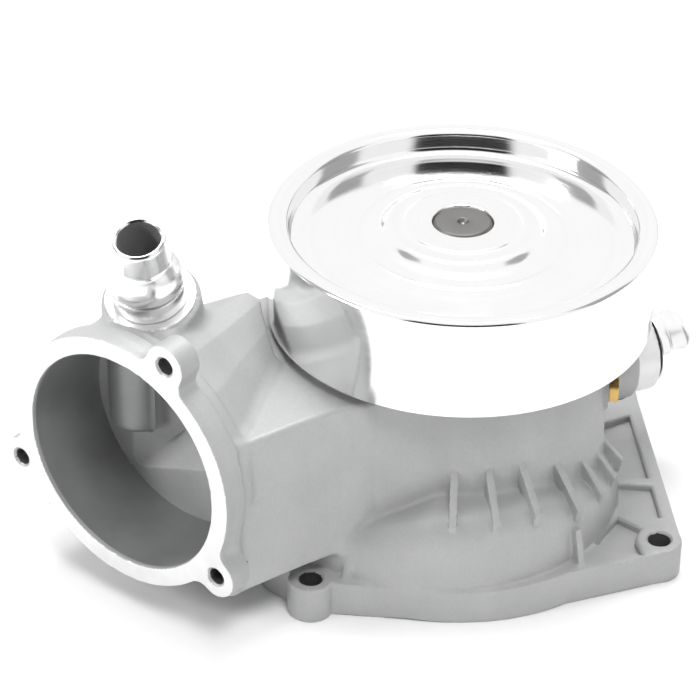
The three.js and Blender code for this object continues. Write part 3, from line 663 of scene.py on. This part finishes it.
def cast_aluminium():
    """Bead-blasted sand casting: pale matt grey with a fine grain, faint flow marks and duller patches."""
    n = Nodes("cast_aluminium")
    at = n.place()
    cloud = n.noise(at, 38.0, 3.0)
    fine = n.noise(at, 1400.0, 2.0, 0.6)
    grain = n.noise(at, 520.0, 3.0, 0.62)
    tone = n.ramp(cloud, grey(0.43, -0.006), grey(0.48, -0.004))
    speck = n.ramp(fine, 0.93, 1.0, 0.25, 0.6)
    mixed = n.add("ShaderNodeMix", data_type="RGBA", blend_type="MULTIPLY")
    mixed.inputs["Factor"].default_value = 1.0
    n.link(tone, mixed.inputs["A"])
    n.link(speck, mixed.inputs["B"])
    n.link(mixed.outputs["Result"], n.shader.inputs["Base Color"])
    n.link(n.ramp(grain, 0.46, 0.62), n.shader.inputs["Roughness"])
    n.set(metallic=0.35)
    n.bump((cloud, 0.25, 0.0006), (grain, 0.30, 0.00025), (fine, 0.25, 0.00012))
    return n.material


def bored_aluminium():
    """The bored inlet: smooth bare metal with fine rings from the boring bar."""
    n = Nodes("bored_aluminium")
    at = n.place()
    rings = n.add("ShaderNodeTexNoise", scale=1.0, detail=2.0)
    spread = n.add("ShaderNodeVectorMath", operation="MULTIPLY")
    n.link(at, spread.inputs[0])
    spread.inputs[1].default_value = (60, 2600, 60)
    n.link(spread.outputs[0], rings.inputs["Vector"])
    cloud = n.noise(at, 45.0, 3.0)
    n.link(n.ramp(cloud, grey(0.27, -0.01), grey(0.34, -0.01)), n.shader.inputs["Base Color"])
    n.link(n.ramp(cloud, 0.40, 0.50), n.shader.inputs["Roughness"])
    n.set(metallic=0.5)
    n.bump((rings.outputs["Fac"], 0.25, 0.00005))
    return n.material


def turned_metal(name, tone, roughness, origin, axis, groove=0.25, spread=0.08, metallic=1.0, warmth=0.0):
    """Metal finished on a lathe: fine rings about its axis, which also catch the light unevenly."""
    n = Nodes(name)
    off, level = n.from_axis(origin, axis)
    feed = n.math("ADD", off, level)
    rings = n.add("ShaderNodeTexNoise", noise_dimensions="1D", scale=3200.0, detail=2.0)
    n.link(feed, rings.inputs["W"])
    bands = n.add("ShaderNodeTexNoise", noise_dimensions="1D", scale=330.0, detail=2.0)
    n.link(feed, bands.inputs["W"])
    smudge = n.noise(n.place(), 60.0, 3.0)
    mix = n.math("ADD", n.math("MULTIPLY", bands.outputs["Fac"], 0.6), n.math("MULTIPLY", smudge, 0.4))
    n.link(n.ramp(mix, grey(tone * 0.97, warmth), grey(tone, warmth)), n.shader.inputs["Base Color"])
    n.link(n.ramp(mix, max(0.03, roughness - spread), roughness + spread), n.shader.inputs["Roughness"])
    n.set(metallic=metallic)
    n.bump((bands.outputs["Fac"], groove * 0.35, 0.00008), (rings.outputs["Fac"], groove, 0.00003))
    return n.material


def milled_aluminium():
    """A milled face: bright, with faint arcs left by the cutter."""
    n = Nodes("milled_aluminium")
    at = n.place()
    arcs = n.add("ShaderNodeTexWave", wave_type="RINGS", bands_direction="Y", scale=900.0, distortion=1.5)
    n.link(at, arcs.inputs["Vector"])
    cloud = n.noise(at, 90.0, 3.0)
    n.link(n.ramp(cloud, grey(0.70), grey(0.78)), n.shader.inputs["Base Color"])
    n.link(n.ramp(arcs.outputs["Fac"], 0.30, 0.38, 0.2, 0.8), n.shader.inputs["Roughness"])
    n.set(metallic=0.55)
    n.bump((arcs.outputs["Fac"], 0.15, 0.00004), (cloud, 0.1, 0.0001))
    return n.material


def plain_finish(name, low, high, roughness, metallic=0.0, grain=700.0, depth=0.0001, strength=0.3):
    """A finish with a fine grain and a slight change of tone over the piece."""
    n = Nodes(name)
    at = n.place()
    fine = n.noise(at, grain, 3.0, 0.6)
    cloud = n.noise(at, 70.0, 3.0)
    n.link(n.ramp(cloud, low, high), n.shader.inputs["Base Color"])
    n.link(n.ramp(fine, roughness - 0.06, roughness + 0.06), n.shader.inputs["Roughness"])
    n.set(metallic=metallic)
    n.bump((fine, strength, depth))
    return n.material


def in_frame(point):
    """A point in mm about the shaft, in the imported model's frame in metres."""
    return tuple((np.array(point, float) + (*SHAFT_AXIS, 0)) * 0.001)


UP = (0.0, 0.0, 1.0)
CENTRE = in_frame((0, 0, 0))
CAST = cast_aluminium()
BORED = bored_aluminium()
MILLED = milled_aluminium()
PULLEY_METAL = turned_metal("turned_pulley", 0.90, 0.11, CENTRE, UP, spread=0.05)
HEATER_METAL = turned_metal("turned_heater", 0.92, 0.20, in_frame(HEATER_TIP), tuple(HEATER_AXIS))
BYPASS_METAL = turned_metal("turned_bypass", 0.92, 0.18, in_frame(BYPASS_CENTRE), BYPASS_AXIS)
SHAFT_METAL = turned_metal("turned_shaft", 0.19, 0.42, CENTRE, UP, groove=0.5, spread=0.1, warmth=0.03)
# The bolt and thread holes: their near-black colour is painted shade, the dark that falls inside deep holes.
DRILLED_HOLE_SHADE = plain_finish("drilled_hole_painted_shade", grey(0.10), grey(0.16), 0.5, 0.5, 1800.0)
# Inside of the turned tubes: duller and rougher than the outside, and its dark colour is painted shade inside
# the bore.
TUBE_INSIDE_SHADE = plain_finish("tube_inside_painted_shade", grey(0.26), grey(0.32), 0.5, 0.3)
RUBBER = plain_finish("black_rubber", grey(0.018), grey(0.03), 0.6)
BRASS = plain_finish("plug_brass", (0.55, 0.36, 0.12, 1), (0.66, 0.45, 0.17, 1), 0.3, 1.0)
BEARING = plain_finish("bearing_steel", grey(0.55), grey(0.62), 0.16, 1.0, 1500.0, 0.00003)
NYLON = plain_finish("cage_nylon", (0.02, 0.045, 0.03, 1), (0.03, 0.06, 0.04, 1), 0.55)
PRESSED = plain_finish("pressed_steel", grey(0.55, 0.05), grey(0.64, 0.05), 0.32, 1.0)
CARBON = plain_finish("seal_carbon", grey(0.02), grey(0.035), 0.4)
CERAMIC = plain_finish("seal_ceramic", grey(0.74, 0.03), grey(0.8, 0.03), 0.25)
IRON = plain_finish("cast_iron", grey(0.10, 0.03), grey(0.16, 0.05), 0.6, 0.6, 420.0, 0.0004, 0.5)

NODE_FINISHES = {
    "impeller": IRON, "bearing_outer_ring": BEARING,
    "bearing_front_seal": RUBBER, "bearing_rear_seal": RUBBER,
    "ball_cage": NYLON, "roller_cage": NYLON, "water_slinger": RUBBER, "seal_cup": PRESSED,
    "seal_bellows": RUBBER, "seal_spring": BEARING, "seal_face_ring": CARBON, "seal_mating_ring": CERAMIC,
}


def finish_nodes():
    """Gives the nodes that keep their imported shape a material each."""
    for name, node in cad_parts.items():
        finish = BEARING if name.startswith(("bearing_ball", "bearing_roller")) else NODE_FINISHES.get(name)
        if finish is not None:
            node.data.materials.clear()
            node.data.materials.append(finish)


# ---------------------------------------------------------------- pieces


def line_bore(piece, axis, origin, radius):
    """Gives the inside of a turned tube a duller, rougher finish, with a dark colour that is painted shade.
    """
    piece.data.materials.append(TUBE_INSIDE_SHADE)
    middle = np.array([p.center for p in piece.data.polygons], float) * 1000 - (*SHAFT_AXIS, 0)
    _, off = along(*middle.T, origin, axis)
    piece.data.polygons.foreach_set("material_index", (off < radius + 0.05).astype(np.int32))


def dress(piece, material, node):
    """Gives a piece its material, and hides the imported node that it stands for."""
    piece.data.materials.append(material)
    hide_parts(node)
    return piece


def finish_of(points):
    """Which of the casting's finishes a point has: 0 cast, 1 milled, 2 bored, 3 the bolt and thread holes,
    whose dark colour is painted shade.
    """
    x, y, z = points.T
    radius = np.hypot(x, y)
    s, off = along(x, y, z, HEATER_TIP, -HEATER_AXIS)
    milled = (np.abs(y - INLET_FACE) < 0.15) | (np.abs(z) < 0.12)
    milled |= (off < HEATER_LAND + 0.1) & (s < HEATER_BOSS_TOP + 1.5)
    milled |= (np.abs(z - TOWER_TOP) < 0.15) & (radius < TOWER_RADIUS)
    s, off = along(x, y, z, BYPASS_CENTRE, BYPASS_AXIS)
    milled |= (off < BYPASS_SPIGOT + 0.1) & (s > BYPASS_LAND)
    across = np.hypot(x - INLET_X, z - INLET_Z)
    bored = (across < INLET_BORE + 0.2) & (y > INLET_FACE + 0.3) & (y < BORE_END - 0.3)
    bored[bored] = outside(*points[bored].T.astype(np.float32)) < -1.5
    bored |= (radius < BEARING_BORE + 0.2) & (z > 55)
    # the bolt and thread holes, which get the dark colour that is painted shade
    shaded_holes = np.zeros(len(points), bool)
    for degrees in BOLT_ANGLES:
        cx, cy = polar(BOLT_CIRCLE, degrees)
        shaded_holes |= (np.hypot(x - cx, y - cy) < BOLT_HOLE + 0.1) & (z > 0.2) & (z < FLANGE_TOP)
    for angle, distance in INLET_LUGS:
        cx, cz = polar(distance, angle)
        inside = np.hypot(x - INLET_X - cx, z - INLET_Z - cz) < THREAD_HOLE + 0.1
        shaded_holes |= inside & (y > INLET_FACE + 0.3) & (y < INLET_FACE + THREAD_DEPTH + 1)
    return np.select([shaded_holes, milled, bored], [3, 1, 2], 0).astype(np.int32)


def make_casting():
    step = 1.0
    vertices, quads = contoured(housing, (-121, -137.5, -2.5), (102, 102, 132), step)
    piece = mesh_object("pump_casting", vertices, quads, "housing")
    piece.data.materials.append(CAST)
    piece.data.materials.append(MILLED)
    piece.data.materials.append(BORED)
    # the fourth finish is painted shade for the bolt and thread holes
    piece.data.materials.append(DRILLED_HOLE_SHADE)
    piece.data.polygons.foreach_set("material_index", finish_of(vertices[quads].mean(1)))
    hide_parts("pump_housing")
    return piece


def make_pulley():
    profile = rounded([
        (11.8, 115), (22, 115), (24, 119, 2), (60, 118, 3), (68.5, 113, 3), (69, 93.4, 0.5), (75, 93.4, 0.6),
        (75, 133.8, 0.5), (74, 134.8, 0.5), (69.5, 135, 0.8), (67.4, 133.6, 0.8), (66.9, 126.4, 2.6),
        (62.0, 125.4, 2), (41.5, 128.1, 0.8), (40.3, 128.5, 0.3), (39.6, 128.2, 0.5), (34.5, 128.8, 2.5),
        (31.8, 129.9, 1.6), (29.3, 132.6, 1.6), (23.2, 132.9, 0.4), (22.4, 133.6, 0.4), (12.2, 133.6, 0.3),
        (11.8, 133.1),
    ])
    piece = lathe("pulley_turned", profile, "rotor", 256)
    return dress(piece, PULLEY_METAL, "pulley")


def make_shaft():
    profile = rounded([
        (0, 6), (8.5, 6), (9.5, 7), (9.5, 36.5), (10, 37), (10, 55), (13, 56), (13, 112), (11.5, 113),
        (11.5, 132.5, 0.2), (10.5, 133.6, 0.2), (2.4, 133.6, 0.2), (1.4, 132.4, 0.3), (0, 131.6),
    ], 0.3)
    piece = lathe("shaft_ground", profile, "rotor", 96, closed=False)
    return dress(piece, SHAFT_METAL, "bearing_shaft")


def make_nipples():
    bore = 8.15
    heater = rounded([
        (bore, -56), (HEATER_TUBE, -56), (HEATER_TUBE, -33.8),
        (14.2, -33.6, 0.2), (14.2, -25.8, 0.3), (10.6, -25.6, 0.1), (10.6, -24.5, 0.1),
        (14.4, -24.2, 0.3), (14.4, -20.6, 1.0), (13.4, -17.4, 2.0),
        (11.9, -14.6, 1.6), (10.5, -12.4, 1.2), (10.4, -1.2, 0.6), (9.5, 0, 0.4), (8.9, 0, 0.3),
        (bore, -0.8, 0.3),
    ])
    piece = lathe("heater_nipple_turned", heater, "housing", 128, tuple(HEATER_AXIS), tuple(HEATER_TIP))
    dress(piece, HEATER_METAL, "heater_nipple")
    line_bore(piece, tuple(HEATER_AXIS), tuple(HEATER_TIP), bore)
    bypass = rounded([
        (BYPASS_BORE, 72), (BYPASS_TUBE, 72), (BYPASS_TUBE, 85, 0.2),
        (14.85, 85.1, 0.5), (14.85, 89.4, 0.7),
        (BYPASS_TUBE, 90.4, 0.8), (BYPASS_TUBE, 98, 1.6), (11.4, 100.2, 1.0), (10.3, 100.5, 0.4),
        (BYPASS_BORE, 99.8, 0.3),
    ])
    piece = lathe("bypass_nipple_turned", bypass, "housing", 128, BYPASS_AXIS, BYPASS_CENTRE)
    dress(piece, BYPASS_METAL, "bypass_nipple")
    line_bore(piece, BYPASS_AXIS, BYPASS_CENTRE, BYPASS_BORE)
    ring = [(13.9 + polar(0.72, t)[0], 84 + polar(0.72, t)[1]) for t in range(0, 360, 24)]
    piece = lathe("bypass_seal_ring_moulded", ring, "housing", 96, BYPASS_AXIS, BYPASS_CENTRE, sharp=80)
    dress(piece, RUBBER, "bypass_seal_ring")


def make_plug():
    """A brass hexagon head whose corners are turned off, on its round stem."""
    shell = bmesh.new()
    bmesh.ops.create_cone(shell, cap_ends=True, segments=6, radius1=6, radius2=6, depth=3.6)
    bmesh.ops.bevel(shell, geom=shell.edges[:], offset=0.35, segments=2, affect="EDGES")
    for v in shell.verts:
        v.co.z += PLUG_SEAT + 1.8
    before = set(shell.verts)
    bmesh.ops.create_cone(shell, cap_ends=True, segments=32, radius1=PLUG_STEM, radius2=PLUG_STEM, depth=11)
    for v in set(shell.verts) - before:
        v.co.z += PLUG_SEAT - 5 + 0.5
    turn = Vector((0, 0, 1)).rotation_difference(Vector(PLUG_AXIS)).to_matrix().to_4x4()
    place = Matrix.Translation(Vector((*SHAFT_AXIS, PLUG_LEVEL))) @ turn
    shell.transform(Matrix.Scale(0.001, 4) @ place)
    mesh = bpy.data.meshes.new("brass_plug_hex")
    shell.to_mesh(mesh)
    shell.free()
    piece = bpy.data.objects.new("brass_plug_hex", mesh)
    bpy.context.scene.collection.objects.link(piece)
    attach(piece, "housing")
    dress(piece, BRASS, "brass_plug")


# ---------------------------------------------------------------- studio


CAMERA_PLACE = (0.6069, -0.8205, 0.7515)
CAMERA_RIGHT = (0.7902, 0.6129, 0)
CAMERA_AHEAD = (-0.5117, 0.6598, -0.5503)
CAMERA_ROLL = math.radians(1.01)
CAMERA_LENS = 160.7


def make_camera():
    """The camera that took the photograph, as fitted to the pulley, the inlet and the bolt holes."""
    place, right, ahead = Vector(CAMERA_PLACE), Vector(CAMERA_RIGHT), Vector(CAMERA_AHEAD)
    right.normalize()
    ahead.normalize()
    up = right.cross(ahead)
    roll = CAMERA_ROLL
    x = math.cos(roll) * right + math.sin(roll) * up
    y = math.cos(roll) * up - math.sin(roll) * right
    camera = bpy.data.objects.new("camera", bpy.data.cameras.new("camera"))
    bpy.context.scene.collection.objects.link(camera)
    camera.matrix_world = Matrix((
        (x.x, y.x, -ahead.x, place.x),
        (x.y, y.y, -ahead.y, place.y),
        (x.z, y.z, -ahead.z, place.z),
        (0, 0, 0, 1),
    ))
    camera.data.lens = CAMERA_LENS
    camera.data.sensor_width = 36
    camera.data.clip_start = 0.05
    bpy.context.scene.camera = camera


def area_light(name, place, target, size, power):
    light = bpy.data.lights.new(name, "AREA")
    light.shape = "RECTANGLE"
    light.size, light.size_y = size
    light.energy = power
    lamp = bpy.data.objects.new(name, light)
    bpy.context.scene.collection.objects.link(lamp)
    lamp.location = place
    lamp.rotation_mode = "QUATERNION"
    lamp.rotation_quaternion = (Vector(place) - Vector(target)).to_track_quat("Z", "Y")
    lamp.visible_camera = False
    return lamp


class WorldNodes(Nodes):
    """The studio round the pump, as brightness by direction."""

    def __init__(self):
        self.world = bpy.data.worlds.new("studio")
        self.world.use_nodes = True
        self.tree = self.world.node_tree
        self.background = self.tree.nodes["Background"]

    def step(self, value, start, stop):
        node = self.add("ShaderNodeMapRange", interpolation_type="SMOOTHSTEP")
        self.link(value, node.inputs["Value"])
        node.inputs["From Min"].default_value = start
        node.inputs["From Max"].default_value = stop
        return node.outputs["Result"]

    def dot(self, vector, way):
        node = self.add("ShaderNodeVectorMath", operation="DOT_PRODUCT")
        self.link(vector, node.inputs[0])
        node.inputs[1].default_value = way
        return node.outputs["Value"]


def make_world():
    """Pale walls and a pale ceiling. The walls have three dark gaps: one in front, one on each side.
    Matt surfaces get half of this light, and the rest from the lamps."""
    n = WorldNodes()
    n.background.inputs["Color"].default_value = grey(1.0)
    away = n.add("ShaderNodeTexCoord").outputs["Generated"]
    flat = n.add("ShaderNodeVectorMath", operation="MULTIPLY")
    n.link(away, flat.inputs[0])
    flat.inputs[1].default_value = (1, 1, 0)
    level = n.add("ShaderNodeVectorMath", operation="NORMALIZE")
    n.link(flat.outputs[0], level.inputs[0])
    front = n.step(n.dot(level.outputs[0], (0.613, -0.790, 0)), 0.81, 0.87)
    side = n.step(n.math("ABSOLUTE", n.dot(level.outputs[0], (0.790, 0.613, 0))), 0.945, 0.97)
    low = n.math("SUBTRACT", 1.0, n.step(n.dot(away, (0, 0, 1)), 0.68, 0.82))
    dark = n.math("MULTIPLY", n.math("MAXIMUM", front, n.math("MULTIPLY", side, 0.6)), low)
    strength = n.math("SUBTRACT", 1.06, n.math("MULTIPLY", dark, 1.04))
    matt = n.add("ShaderNodeLightPath").outputs["Is Diffuse Ray"]
    n.link(n.math("MULTIPLY", strength, n.math("SUBTRACT", 1.0, n.math("MULTIPLY", matt, 0.5))),
           n.background.inputs["Strength"])
    bpy.context.scene.world = n.world


def make_studio():
    bpy.ops.mesh.primitive_plane_add(size=12, location=(0, 0, 0))
    floor = bpy.context.object
    floor.name = "floor"
    n = Nodes("floor")
    n.link(n.ramp(n.noise(n.place(), 3.0), grey(0.86), grey(0.88)), n.shader.inputs["Base Color"])
    n.set(roughness=0.7)
    floor.data.materials.append(n.material)
    make_world()
    middle = (0, 0, 0.07)
    area_light("top_light", (-0.25, 0.25, 1.5), middle, (0.8, 0.8), 15)
    area_light("left_light", (-0.9, -1.3, 0.9), middle, (0.4, 0.4), 12.5)
    area_light("front_light", (0.65, -0.5, 1.4), middle, (0.5, 0.5), 14).visible_glossy = False
    bpy.context.scene.view_settings.view_transform = "Standard"
    bpy.context.scene.view_settings.look = "None"


make_camera()
make_studio()
finish_nodes()
make_casting()
make_pulley()
make_shaft()
make_nipples()
make_plug()
